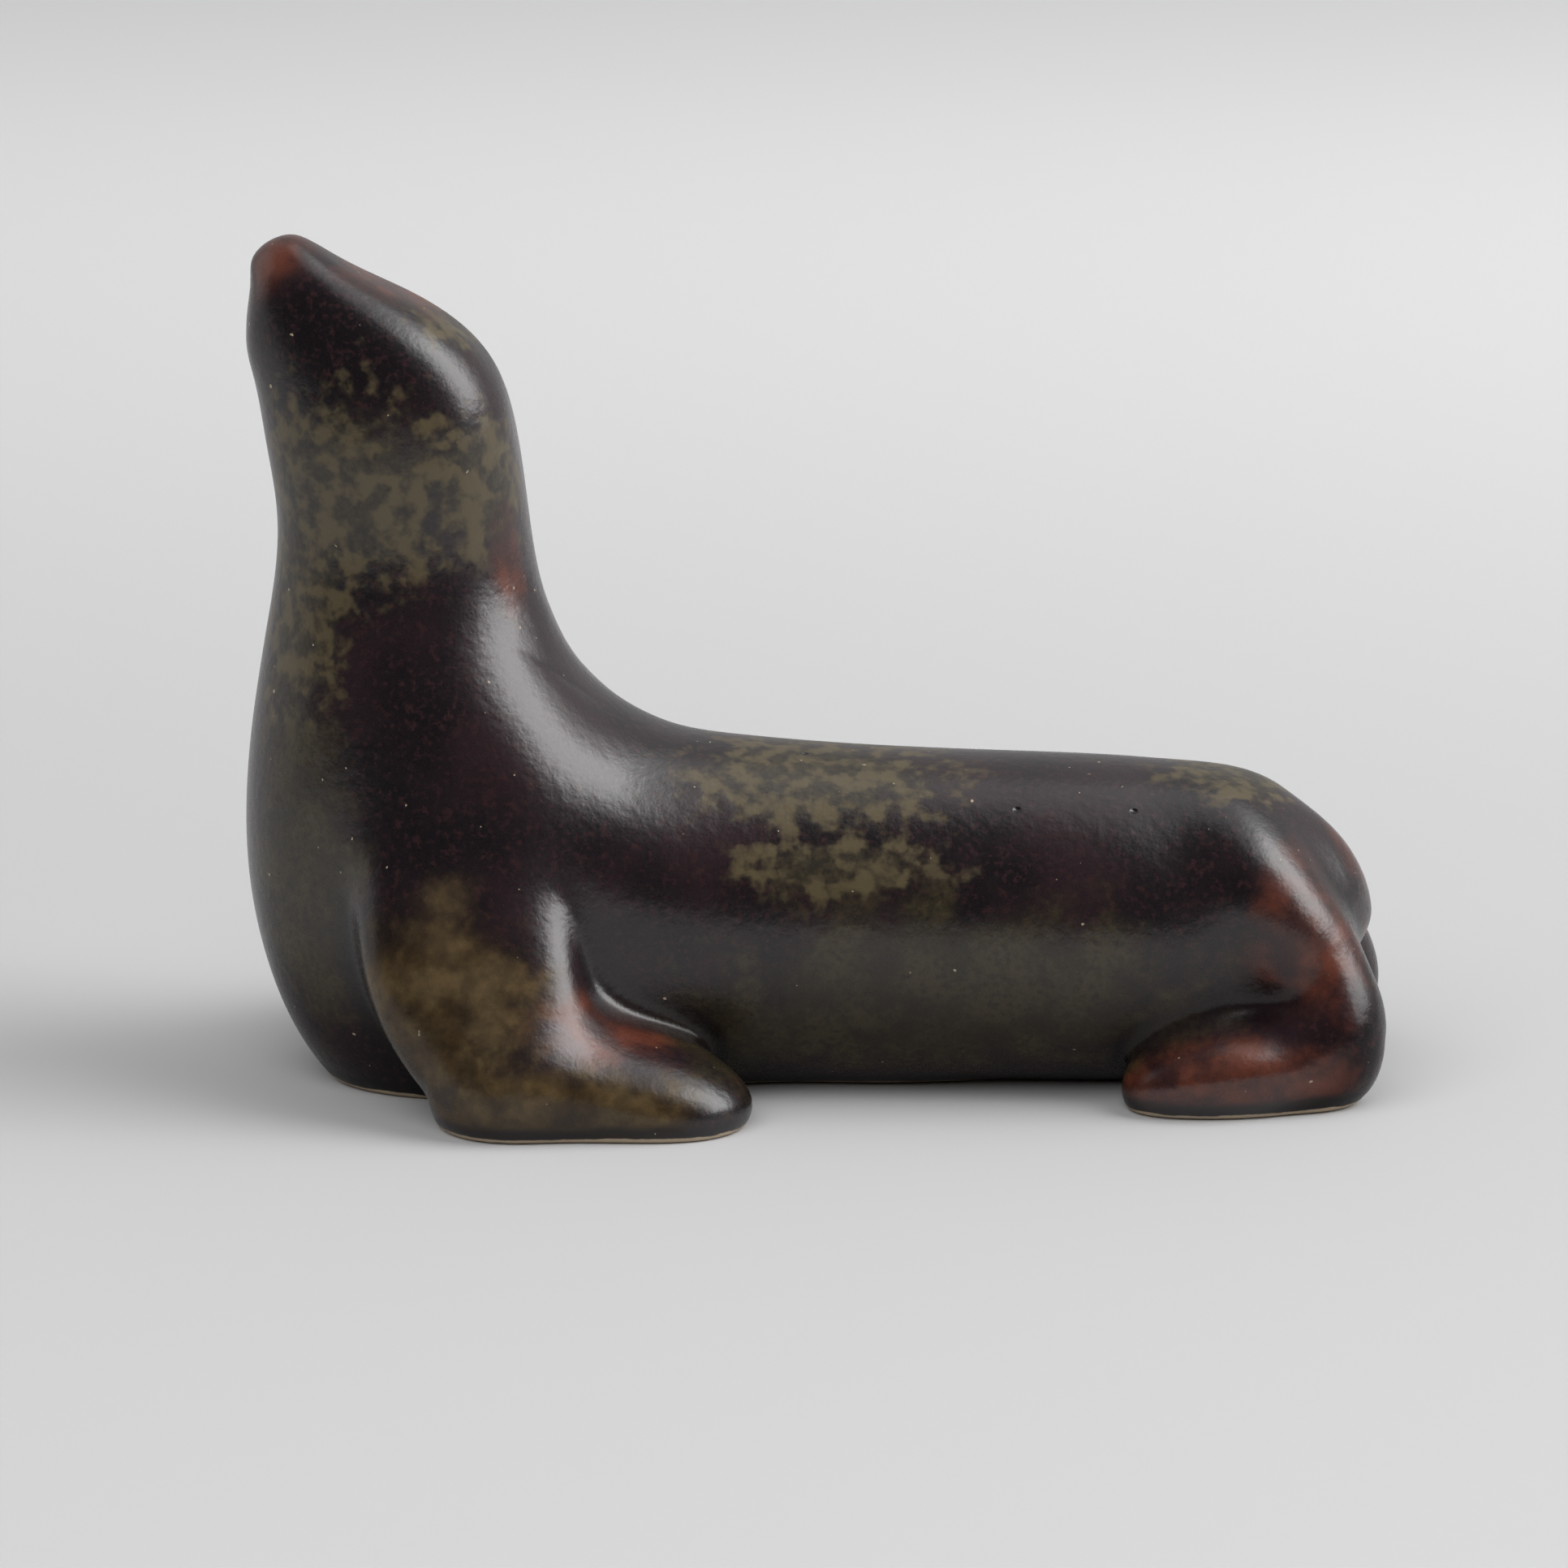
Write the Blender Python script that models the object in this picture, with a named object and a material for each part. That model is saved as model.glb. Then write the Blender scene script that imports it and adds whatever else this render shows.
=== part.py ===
"""Sea lion figure with a raised head: one solid piece of glazed stoneware on a flat ground base.

The animal looks along -X and stands on z = 0, +Z up. Its own left side faces -Y.
The body is one loft from the snout to the tail, whose spine is two arcs and a level back. The
arm, the front flipper, the hind leg and the hind flipper are lofts of their own on the left
side, and the right side is their mirror image. The lofts are fused into one skin, and the skin
is then moved onto the shape that a finger leaves where clay meets clay: wide and soft at the
shoulder and hip, tight at the creases beside the flippers.
"""

import bpy
import numpy as np

# Sizes are in millimetres, and the finished mesh is in metres.
MM = 0.001

# Overall stance: top of the head, and outer edge to outer edge of each pair of flippers
HEAD_HEIGHT = 129.9
STANCE = 91.8
HIND_STANCE = 58.8

# Head, along an arc that bends forward from the top of the neck
HEAD_TILT = 53.4
CROWN = 3.0
SNOUT_DEPTH = 10.4
SNOUT_WIDTH = 11.6
MUZZLE_DEPTH = 18.3
MUZZLE_WIDTH = 18.8
BROW_DEPTH = 30.4
BROW_WIDTH = 29.2
CHEEK_DEPTH = 36.6
CHEEK_WIDTH = 33.4
NECK_DEPTH = 39.5
NECK_WIDTH = 34.4

# Saddle, the hollow arc between nape and back, and the chest under it
SADDLE_X = -12.7
SADDLE_RADIUS = 29.6
WITHERS_HEIGHT = 52.4
CHEST_DEPTH = 73.6
CHEST_WIDTH = 54.0

# Barrel, rump and tail
BACK_HEIGHT = 50.2
BARREL_DEPTH = 50.8
BARREL_WIDTH = 49.0
RUMP_X = 63.6
RUMP_HEIGHT = 47.9
RUMP_DEPTH = 44.9
RUMP_WIDTH = 41.6
TAIL_X = 85.5
TAIL_HEIGHT = 27.0

# Arm and front flipper
SHOULDER_X = -48.0
SHOULDER_HEIGHT = 54.0
ARM_WIDTH = 33.0
ARM_DEPTH = 9.8
FLIPPER_WIDTH = 24.6
FLIPPER_HEIGHT = 13.4
FLIPPER_TIP_X = -7.9

# Hind leg and hind flipper
HIP_X = 62.0
HIP_HEIGHT = 35.5
HIP_SPREAD = 7.5
LEG_RADIUS = 8.7
HEEL_X = 78.9
HEEL_HEIGHT = 10.5
HEEL_SPREAD = 15.6
FOOT_WIDTH = 16.0
FOOT_HEIGHT = 9.0
FOOT_TIP_X = 48.0

# Reach of the softened joints
SHOULDER_BLEND = 16.0
ELBOW_BLEND = 14.0
FLIPPER_CREASE = 5.0
HIP_BLEND = 8.0
HEEL_BLEND = 8.0
WEB_BLEND = 11.0
FOOT_CREASE = 4.5

# Fineness of the skin
VOXEL = 1.4
RING_POINTS = 48
RING_STEP = 1.5
TRIANGLES = 11200

GLAZE_COLOUR = (0.045, 0.028, 0.026, 1.0)
GLAZE_ROUGHNESS = 0.34


def between(first, second, share):
    """The value that lies the given share of the way from the first to the second."""
    return first + (second - first) * np.asarray(share)


def head_rows():
    """Rows of x, z, back, belly, half width, back fullness and belly fullness, from the snout.

    Each is given as its share of the way along the arc, the depth of the head there, the share of
    that depth over the spine, the width and the back's fullness. The brow is squarest.
    """
    neck_x = SADDLE_X - SADDLE_RADIUS - 0.5 * NECK_DEPTH
    neck_top = WITHERS_HEIGHT + SADDLE_RADIUS
    radius = (HEAD_HEIGHT - CROWN - neck_top) / np.sin(np.radians(HEAD_TILT))
    sections = [
        (1.0, 0.0, 0.5, 0.0, 2.0),
        (0.945, SNOUT_DEPTH, 0.56, SNOUT_WIDTH, 2.2),
        (0.91, between(SNOUT_DEPTH, MUZZLE_DEPTH, 0.38), 0.53, between(SNOUT_WIDTH, MUZZLE_WIDTH, 0.44), 2.3),
        (0.825, MUZZLE_DEPTH, 0.425, MUZZLE_WIDTH, 2.6),
        (0.71, between(MUZZLE_DEPTH, BROW_DEPTH, 0.44), 0.43, between(MUZZLE_WIDTH, BROW_WIDTH, 0.54), 2.8),
        (0.58, BROW_DEPTH, 0.48, BROW_WIDTH, 2.8),
        (0.41, CHEEK_DEPTH, 0.515, CHEEK_WIDTH, 2.6),
        (0.22, between(CHEEK_DEPTH, NECK_DEPTH, 0.6), 0.505, NECK_WIDTH, 2.3),
    ]
    rows = []
    for share, depth, over, width, fullness in sections:
        turn = np.radians(HEAD_TILT * share)
        x = neck_x - radius * (1.0 - np.cos(turn))
        z = neck_top + radius * np.sin(turn)
        rows.append((x, z, over * depth, (1.0 - over) * depth, 0.5 * width, fullness, 2.0))
    return rows


def saddle_rows():
    """Rows as the head's, square to the arc of the saddle, from the neck to the withers.

    The back keeps the saddle's radius. Under it the depth and the width swell from the neck to
    the chest and shrink again to the barrel, by the shares given beside each angle.
    """
    neck = (0.5 * NECK_DEPTH, 0.5 * NECK_WIDTH)
    chest = (CHEST_DEPTH, 0.5 * CHEST_WIDTH)
    behind = 0.5 * BARREL_DEPTH
    sections = [
        (0.0, 0.0, 0.0, 0.0, 2.0),
        (15.0, 0.28, 0.12, 0.29, 2.0),
        (30.0, 0.46, 0.42, 0.69, 2.1),
        (45.0, 0.64, 0.80, 0.92, 2.4),
        (60.0, 0.82, 1.0, 1.0, 2.8),
    ]
    rows = []
    for degrees, back_share, depth_share, width_share, fullness in sections:
        back = between(neck[0], behind, back_share)
        depth = between(NECK_DEPTH, chest[0], depth_share)
        rows.append((degrees, back, depth - back, between(neck[1], chest[1], width_share), 2.0, fullness))
    for degrees, depth_share, width_share, fullness in [(75.0, 0.44, 0.84, 2.5), (90.0, 0.15, 0.36, 2.1)]:
        depth = between(BARREL_DEPTH, chest[0], depth_share)
        half_width = between(0.5 * BARREL_WIDTH, chest[1], width_share)
        rows.append((degrees, behind, depth - behind, half_width, 2.0, fullness))
    placed = []
    for degrees, *reaches in rows:
        turn = np.radians(degrees)
        radius = SADDLE_RADIUS + reaches[0]
        x = SADDLE_X - radius * np.cos(turn)
        z = WITHERS_HEIGHT + SADDLE_RADIUS - radius * np.sin(turn)
        placed.append((x, z, *reaches))
    return placed


def rump_rows():
    """Rows as the head's, from the barrel's front to the tail.

    Each lies between two of the withers, the middle of the barrel, the rump and the tail's tip,
    by its shares of x, height of the back, depth and width, then the share over the spine.
    """
    withers = np.array([SADDLE_X, WITHERS_HEIGHT, BARREL_DEPTH + 2.0, BARREL_WIDTH])
    barrel = np.array([between(SADDLE_X, RUMP_X, 0.56), BACK_HEIGHT, BARREL_DEPTH, BARREL_WIDTH])
    rump = np.array([RUMP_X, RUMP_HEIGHT, RUMP_DEPTH, RUMP_WIDTH])
    tail = np.array([TAIL_X, TAIL_HEIGHT, 0.0, 0.0])
    sections = [
        (between(withers, barrel, (0.57, 0.77, 0.2, 0.5)), 0.48),
        (barrel, 0.492),
        (between(barrel, rump, (0.59, 0.35, 0.2, 0.13)), 0.494),
        (rump, 0.51),
        (between(rump, tail, (0.45, 0.134, 0.205, 0.23)), 0.552),
        (between(rump, tail, (0.8, 0.416, 0.537, 0.53)), 0.615),
        (tail, 0.5),
    ]
    return [
        (x, top - over * depth, over * depth, (1.0 - over) * depth, 0.5 * width, 2.0, 2.0)
        for (x, top, depth, width), over in sections
    ]


def arm_rows():
    """Sections down the arm: x, y, z, outer reach, inner reach, half width, facing x, y, z, fullness.

    The spine runs from inside the shoulder to the flipper's middle on the floor.
    """
    inside = -4.0
    floor_y = 0.5 * (FLIPPER_WIDTH - STANCE)
    half = 0.5 * ARM_WIDTH
    sections = [
        (3.0, 0.0, 1.15, 0.0, 0.0, 0.0, (0.45, 2.0)),
        (0.0, 0.2, 1.0, ARM_DEPTH - 0.8, 9.0, 0.61 * half, (0.45, 2.0)),
        (-4.0, 0.47, 0.78, ARM_DEPTH + 0.2, 12.0, 0.88 * half, (0.4, 2.0)),
        (-3.8, 0.69, 0.52, ARM_DEPTH, 12.0, half, (0.4, 2.0)),
        (0.0, 0.88, 0.27, ARM_DEPTH + 0.2, 10.0, 0.91 * half, (0.3, 2.1)),
        (2.5, 0.97, 0.09, ARM_DEPTH - 0.3, 9.0, 0.62 * half, (0.15, 2.1)),
        (4.5, 1.0, -0.07, 0.0, 0.0, 0.0, (0.1, 2.0)),
    ]
    return [
        (SHOULDER_X + x, between(inside, floor_y, out), high * SHOULDER_HEIGHT, *reaches, 0.0, -0.9, *rest)
        for x, out, high, *reaches, rest in sections
    ]


def front_flipper_rows():
    """Sections as the arm's, back along the floor from under the arm to the tip, facing up."""
    middle = 0.5 * (FLIPPER_WIDTH - STANCE)
    half = 0.5 * FLIPPER_WIDTH
    root = SHOULDER_X - 8.0
    sections = [
        (0.0, 1.5, 0.37, 0.0, 0.0, 0.35, 2.0),
        (0.18, 0.8, 0.39, 0.65, 0.89, 0.35, 2.2),
        (0.375, 0.55, 0.33, 0.67, 1.0, 0.3, 2.5),
        (0.615, 0.4, 0.27, 0.58, 0.93, 0.25, 2.6),
        (0.84, 1.2, 0.24, 0.51, 0.75, 0.2, 2.4),
        (1.0, 2.5, 0.22, 0.0, 0.0, 0.1, 2.0),
    ]
    rows = []
    for along, inward, high, reach, width, tilt, fullness in sections:
        spine = (between(root, FLIPPER_TIP_X, along), middle + inward, high * FLIPPER_HEIGHT)
        reaches = (reach * FLIPPER_HEIGHT, reach * FLIPPER_HEIGHT, width * half)
        rows.append((*spine, *reaches, 0.0, -tilt, 0.95, fullness))
    return rows


def hind_leg_rows():
    """Sections as the arm's, from inside the hip, out over the thigh and down to the heel."""
    leg = LEG_RADIUS
    sections = [
        (-0.7, 0.4 * HIP_SPREAD, -0.1, 0.0, 0.0),
        (-0.36, 0.6 * HIP_SPREAD, 0.06, 0.93, 0.95),
        (0.0, HIP_SPREAD, 0.0, 1.06, 1.07),
        (0.29, 0.77 * HEEL_SPREAD, 0.116, 1.06, 1.06),
        (0.51, 0.87 * HEEL_SPREAD, 0.3, 1.01, 1.03),
        (0.75, 0.85 * HEEL_SPREAD, 0.508, 0.99, 0.99),
        (0.94, 0.88 * HEEL_SPREAD, 0.74, 0.99, 0.96),
        (1.0, HEEL_SPREAD, 1.0, 1.0, 1.0),
        (0.85, 1.05 * HEEL_SPREAD, 1.26, 0.66, 0.70),
        (0.8, 1.09 * HEEL_SPREAD, 1.5, 0.0, 0.0),
    ]
    rows = []
    for along, out, low, reach, width in sections:
        spine = (between(HIP_X, HEEL_X, along), -out, between(HIP_HEIGHT, HEEL_HEIGHT, low))
        rows.append((*spine, reach * leg, 0.95 * reach * leg, width * leg, 0.05, -1.0, 0.15, 2.0))
    return rows


def hind_flipper_rows():
    """Sections as the arm's, from inside the heel forward along the floor to the tip."""
    toe_out = 0.5 * HIND_STANCE - 0.52 * FOOT_WIDTH
    half = 0.5 * FOOT_WIDTH
    root = HEEL_X + 4.4
    sections = [
        (0.0, 0.64, 1.05, 0.0, 0.0, 2.0),
        (0.14, 0.75, 0.78, 0.94, 0.75, 2.0),
        (0.335, 0.87, 0.53, 1.0, 0.69, 2.2),
        (0.53, 0.97, 0.38, 1.09, 0.64, 2.5),
        (0.725, 1.0, 0.31, 1.03, 0.63, 2.5),
        (0.88, 0.96, 0.29, 0.7, 0.57, 2.3),
        (1.0, 0.86, 0.29, 0.0, 0.0, 2.0),
    ]
    rows = []
    for along, out, high, reach, width, fullness in sections:
        spine = (between(root, FOOT_TIP_X, along), -out * toe_out, high * FOOT_HEIGHT)
        reaches = (reach * half, 0.87 * reach * half, width * FOOT_HEIGHT)
        rows.append((*spine, *reaches, 0.0, -0.96, -0.2, fullness))
    return rows


def unit(vectors):
    return vectors / np.linalg.norm(vectors, axis=-1, keepdims=True)


def fade(value, start, end):
    """0 before the start, 1 past the end, and a smooth rise between them."""
    share = np.clip((value - start) / (end - start), 0.0, 1.0)
    return share * share * (3.0 - 2.0 * share)


def curvature_of(places, values):
    """Second derivatives at each place of the natural cubic spline through the values."""
    step = np.diff(places)
    slope = np.diff(values, axis=0) / step[:, None]
    matrix = np.eye(len(places))
    inner = np.arange(1, len(places) - 1)
    matrix[inner, inner - 1] = step[:-1]
    matrix[inner, inner] = 2.0 * (step[:-1] + step[1:])
    matrix[inner, inner + 1] = step[1:]
    change = np.zeros_like(values)
    change[1:-1] = 6.0 * np.diff(slope, axis=0)
    return np.linalg.solve(matrix, change)


def squared_radius(up, side, section):
    """Squared distance from the spine to the skin in the direction (up, side).

    The skin is the superellipse |up / reach|^n + |side / half width|^n = 1, with one reach and
    one fullness n over the spine and another under it.
    """
    over = up > 0.0
    reach = np.where(over, section[..., 3], section[..., 4])
    power = np.where(over, section[..., 9], section[..., 10]) / 2.0
    square = np.maximum(up**2 + side**2, 1e-9)
    total = (up**2 / square / np.maximum(reach, 1e-3)) ** power
    total += (side**2 / square / np.maximum(section[..., 5], 1e-3)) ** power
    return total ** (-1.0 / power)


class Loft:
    """A skin over sections that follow a smooth spine and close to a round end at both tips.

    A section holds the spine's x, y, z, the squared reaches over, under and sideways, the
    direction that its upper side faces, and the fullness over and under. All of it runs through
    one cubic spline. The reaches are squared because the square falls evenly near a round tip.
    """

    def __init__(self, sections):
        self.values = sections.copy()
        self.values[:, 3:6] **= 2
        spans = np.linalg.norm(np.diff(self.values[:, :3], axis=0), axis=1)
        self.places = np.concatenate([[0.0], np.cumsum(spans)])
        self.curvature = curvature_of(self.places, self.values)
        self.length = self.places[-1]
        self.samples = np.linspace(0.0, self.length, 100)
        self.sampled_spine = self.at(self.samples)[0][:, :3]

    def at(self, along):
        """Section, slope and curvature at each distance along the spine, straight past its tips."""
        inside = np.clip(along, 0.0, self.length)
        first = np.clip(np.searchsorted(self.places, inside, "right") - 1, 0, len(self.places) - 2)
        width = (self.places[first + 1] - self.places[first])[:, None]
        ahead = (self.places[first + 1] - inside)[:, None]
        behind = (inside - self.places[first])[:, None]
        bend_a, bend_b = self.curvature[first], self.curvature[first + 1]
        line_a = self.values[first] / width - bend_a * width / 6.0
        line_b = self.values[first + 1] / width - bend_b * width / 6.0
        section = (bend_a * ahead**3 + bend_b * behind**3) / (6.0 * width) + line_a * ahead + line_b * behind
        slope = (bend_b * behind**2 - bend_a * ahead**2) / (2.0 * width) + line_b - line_a
        curve = (bend_a * ahead + bend_b * behind) / width
        past = (along - inside)[:, None]
        section[:, :6] += (slope * past)[:, :6]
        return section, slope, curve

    def frame(self, section, slope):
        """Directions over and across the section, square to the spine."""
        along = unit(slope[:, :3])
        facing = section[:, 6:9]
        over = unit(facing - (facing * along).sum(1, keepdims=True) * along)
        return over, np.cross(along, over)

    def nearest(self, points):
        """Distance along the spine of the place nearest to each point, by Newton's steps."""
        far = (self.sampled_spine**2).sum(1) - 2.0 * points @ self.sampled_spine.T
        along = self.samples[far.argmin(1)]
        for _ in range(3):
            section, slope, curve = self.at(along)
            offset = points - section[:, :3]
            error = (offset * slope[:, :3]).sum(1)
            change = (offset * curve[:, :3]).sum(1) - (slope[:, :3] ** 2).sum(1)
            step = error / np.minimum(change, -0.15)
            along = np.clip(along - np.clip(step, -4.0, 4.0), -12.0, self.length + 12.0)
        return along

    def distance(self, points):
        """Distance of each point from the skin, less than 0 inside, and its place on the spine.

        For a point at distance d from the spine, where the skin has radius r, it is
        (d^2 - r^2) / (d + r).
        """
        along = self.nearest(points)
        section, slope, _ = self.at(along)
        over, across = self.frame(section, slope)
        offset = points - section[:, :3]
        up = (offset * over).sum(1)
        side = (offset * across).sum(1)
        reach = np.where(up > 0.0, section[:, 3], section[:, 4])
        past_tip = np.minimum(np.minimum(reach, section[:, 5]), 0.0)
        square = up**2 + side**2
        radius_square = squared_radius(up, side, section) + past_tip
        size = np.sqrt(square) + np.sqrt(np.maximum(radius_square, 0.0))
        return (square - radius_square) / np.maximum(size, 4.0), along

    def rings(self):
        """Points of the skin ring by ring: spine + r (cos t over + sin t across)."""
        count = int(np.ceil(self.length / RING_STEP)) + 1
        section, slope, _ = self.at(np.linspace(0.0, self.length, count))
        over, across = self.frame(section, slope)
        turn = np.linspace(0.0, 2.0 * np.pi, RING_POINTS, endpoint=False)[None, :]
        radius = np.sqrt(squared_radius(np.cos(turn), np.sin(turn), section[:, None]))[..., None]
        ring = np.cos(turn)[..., None] * over[:, None] + np.sin(turn)[..., None] * across[:, None]
        return section[:, None, :3] + radius * ring


def body_loft():
    rows = np.array(head_rows() + saddle_rows() + rump_rows())
    spine = np.stack([rows[:, 0], np.zeros(len(rows)), rows[:, 1]], axis=1)
    along = np.gradient(spine, axis=0)
    facing = unit(np.stack([-along[:, 2], along[:, 1], along[:, 0]], axis=1))
    return Loft(np.hstack([spine, rows[:, 2:5], facing, rows[:, 5:7]]))


def limb_loft(sections):
    rows = np.array(sections)
    return Loft(np.hstack([rows, rows[:, 9:]]))


def softly_joined(first, second, reach):
    """The lesser of two distances, rounded where they differ by less than the reach."""
    overlap = np.maximum(reach - np.abs(first - second), 0.0) / reach
    return np.minimum(first, second) - overlap**3 * reach / 6.0


class Figure:
    """The lofts of the figure, and the distance to the one skin that runs over them."""

    def __init__(self):
        self.body = body_loft()
        self.arm = limb_loft(arm_rows())
        self.front = limb_loft(front_flipper_rows())
        self.leg = limb_loft(hind_leg_rows())
        self.hind = limb_loft(hind_flipper_rows())

    def distance(self, points):
        """Distance to the skin, less than 0 inside: the lesser of body and limbs, rounded between.

        A flipper's crease narrows from its root to its tip.
        """
        left = points * (1.0, -1.0, 1.0)
        left[:, 1] = -np.abs(points[:, 1])
        front, along = self.front.distance(left)
        to_tip = fade(along, self.front.places[2], self.front.places[5])
        front = softly_joined(front, self.arm.distance(left)[0], ELBOW_BLEND)
        reach = between(SHOULDER_BLEND, FLIPPER_CREASE, to_tip)
        skin = softly_joined(self.body.distance(left)[0], front, reach)
        leg = self.leg.distance(left)[0]
        foot, along = self.hind.distance(left)
        to_tip = fade(along, self.hind.places[2], self.hind.places[5])
        web = softly_joined(skin, foot, between(WEB_BLEND, FOOT_CREASE, to_tip))
        return np.minimum(web, softly_joined(skin, softly_joined(leg, foot, HEEL_BLEND), HIP_BLEND))

    def onto_skin(self, points):
        """The points moved along the slope of the distance until they lie on the skin."""
        probe = 0.04
        for _ in range(4):
            here = self.distance(points)
            slope = [(self.distance(points + probe * axis) - here) / probe for axis in np.eye(3)]
            slope = np.stack(slope, axis=1)
            steepness = np.maximum((slope**2).sum(1, keepdims=True), 0.25)
            points = points - np.clip(here[:, None] * slope / steepness, -1.0, 1.0)
        return points

    def shells(self):
        """Rings of the body and of the limbs on both sides, wound so that faces point out."""
        limbs = [limb.rings() for limb in (self.arm, self.front, self.leg, self.hind)]
        return [self.body.rings(), *limbs, *[rings[:, ::-1] * (1.0, -1.0, 1.0) for rings in limbs]]


def shell_faces(rings, start):
    """Quads between neighbouring rings, and one face over each end ring."""
    index = start + np.arange(rings.shape[0] * rings.shape[1]).reshape(rings.shape[:2])
    following = np.roll(index, -1, axis=1)
    quads = np.stack([index[:-1], following[:-1], following[1:], index[1:]], axis=-1)
    return quads.reshape(-1, 4).tolist() + [index[0, ::-1].tolist(), index[-1].tolist()]


def mesh_of_shells(name, shells):
    """One mesh that holds several closed shells."""
    faces = []
    start = 0
    for rings in shells:
        faces += shell_faces(rings, start)
        start += rings.shape[0] * rings.shape[1]
    mesh = bpy.data.meshes.new(name)
    mesh.from_pydata(np.concatenate([rings.reshape(-1, 3) for rings in shells]), [], faces)
    return mesh


def fused_mesh(figure):
    """The shells run into one closed mesh of small even quads."""
    whole = bpy.data.objects.new("whole", mesh_of_shells("whole", figure.shells()))
    bpy.context.scene.collection.objects.link(whole)
    fuse = whole.modifiers.new("Fuse", "REMESH")
    fuse.mode = "VOXEL"
    fuse.voxel_size = VOXEL
    graph = bpy.context.evaluated_depsgraph_get()
    mesh = bpy.data.meshes.new_from_object(whole.evaluated_get(graph))
    bpy.data.objects.remove(whole)
    return mesh


def evened(points, edges, passes):
    """The points drawn halfway to the mean of their neighbours, which spaces them evenly."""
    neighbours = np.bincount(edges.ravel(), minlength=len(points))[:, None]
    for _ in range(passes):
        total = np.stack(
            [
                np.bincount(edges[:, 0], points[edges[:, 1], axis], len(points))
                + np.bincount(edges[:, 1], points[edges[:, 0], axis], len(points))
                for axis in range(3)
            ],
            axis=1,
        )
        points = 0.5 * points + 0.5 * total / neighbours
    return points


def sculpted_skin():
    """The fused mesh with its points evened out and set on the softened skin, in metres."""
    figure = Figure()
    mesh = fused_mesh(figure)
    points = np.empty(3 * len(mesh.vertices))
    mesh.vertices.foreach_get("co", points)
    edges = np.empty(2 * len(mesh.edges), int)
    mesh.edges.foreach_get("vertices", edges)
    edges = edges.reshape(-1, 2)
    points = figure.onto_skin(evened(points.reshape(-1, 3), edges, 4))
    points = figure.onto_skin(evened(points, edges, 2))
    standing = points[points[:, 2] > 0.0]
    middle = 0.5 * (standing.min(0) + standing.max(0))
    points[:, :2] -= middle[:2]
    mesh.vertices.foreach_set("co", (points * MM).ravel())
    mesh.update()
    return mesh


def ground_block(size):
    """A cutter whose top is the floor, because the fired figure's foot is ground flat."""
    low, high = -size, size
    corners = [(x, y, z) for z in (low, 0.0) for y in (low, high) for x in (low, high)]
    faces = [(0, 2, 3, 1), (4, 5, 7, 6), (0, 1, 5, 4), (1, 3, 7, 5), (3, 2, 6, 7), (2, 0, 4, 6)]
    mesh = bpy.data.meshes.new("ground")
    mesh.from_pydata(corners, [], faces)
    block = bpy.data.objects.new("ground", mesh)
    block.hide_render = True
    block.display_type = "WIRE"
    bpy.context.scene.collection.objects.link(block)
    return block


def glaze():
    material = bpy.data.materials.new("aubergine_glaze")
    material.use_nodes = True
    shader = material.node_tree.nodes["Principled BSDF"]
    shader.inputs["Base Color"].default_value = GLAZE_COLOUR
    shader.inputs["Roughness"].default_value = GLAZE_ROUGHNESS
    shader.inputs["Metallic"].default_value = 0.0
    material.diffuse_color = GLAZE_COLOUR
    return material


def build():
    for old in list(bpy.data.objects):
        bpy.data.objects.remove(old)
    skin = sculpted_skin()
    skin.materials.append(glaze())
    skin.shade_smooth()
    sea_lion = bpy.data.objects.new("sea_lion", skin)
    bpy.context.scene.collection.objects.link(sea_lion)
    skin.calc_loop_triangles()
    thin = sea_lion.modifiers.new("Lighten", "DECIMATE")
    thin.ratio = TRIANGLES / len(skin.loop_triangles)
    cut = sea_lion.modifiers.new("Ground flat", "BOOLEAN")
    cut.operation = "DIFFERENCE"
    cut.object = ground_block(0.15)


build()
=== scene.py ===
"""A stoneware sea lion figure in aubergine glaze, on a pale floor in soft studio light.

The animal looks along -X with its left side towards the camera at -Y, and stands on z = 0.
Its skin is worked out in millimetres: a loft from snout to tail and two for each limb, run
together softly as a potter joins clay. Its glaze is mottled by place, thin on the ridges and
pooled in the creases.
"""

import bpy
import numpy as np
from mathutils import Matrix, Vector


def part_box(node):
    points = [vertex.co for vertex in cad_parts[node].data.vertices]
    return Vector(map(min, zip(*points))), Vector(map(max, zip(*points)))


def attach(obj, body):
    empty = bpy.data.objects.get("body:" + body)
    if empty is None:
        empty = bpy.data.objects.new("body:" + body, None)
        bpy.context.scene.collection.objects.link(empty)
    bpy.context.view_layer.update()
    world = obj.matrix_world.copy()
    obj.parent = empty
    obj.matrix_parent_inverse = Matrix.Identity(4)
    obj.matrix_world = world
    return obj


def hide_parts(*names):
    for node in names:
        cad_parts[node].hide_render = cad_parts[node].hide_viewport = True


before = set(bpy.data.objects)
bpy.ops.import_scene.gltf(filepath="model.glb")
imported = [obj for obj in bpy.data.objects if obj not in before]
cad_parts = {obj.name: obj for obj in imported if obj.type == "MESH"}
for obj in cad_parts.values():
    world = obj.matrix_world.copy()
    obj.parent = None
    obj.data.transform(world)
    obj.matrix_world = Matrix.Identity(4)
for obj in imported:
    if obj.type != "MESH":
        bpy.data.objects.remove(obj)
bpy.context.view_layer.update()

MM = 0.001

# The skin, in millimetres: its fineness, the coarser one that joins the lofts, how far it lies
# inside them, and the rounding of its edge at the floor
VOXEL = 0.84
JOINING_VOXEL = 1.2
INSET = 0.08
FLOOR_ROUNDING = 1.6

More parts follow.
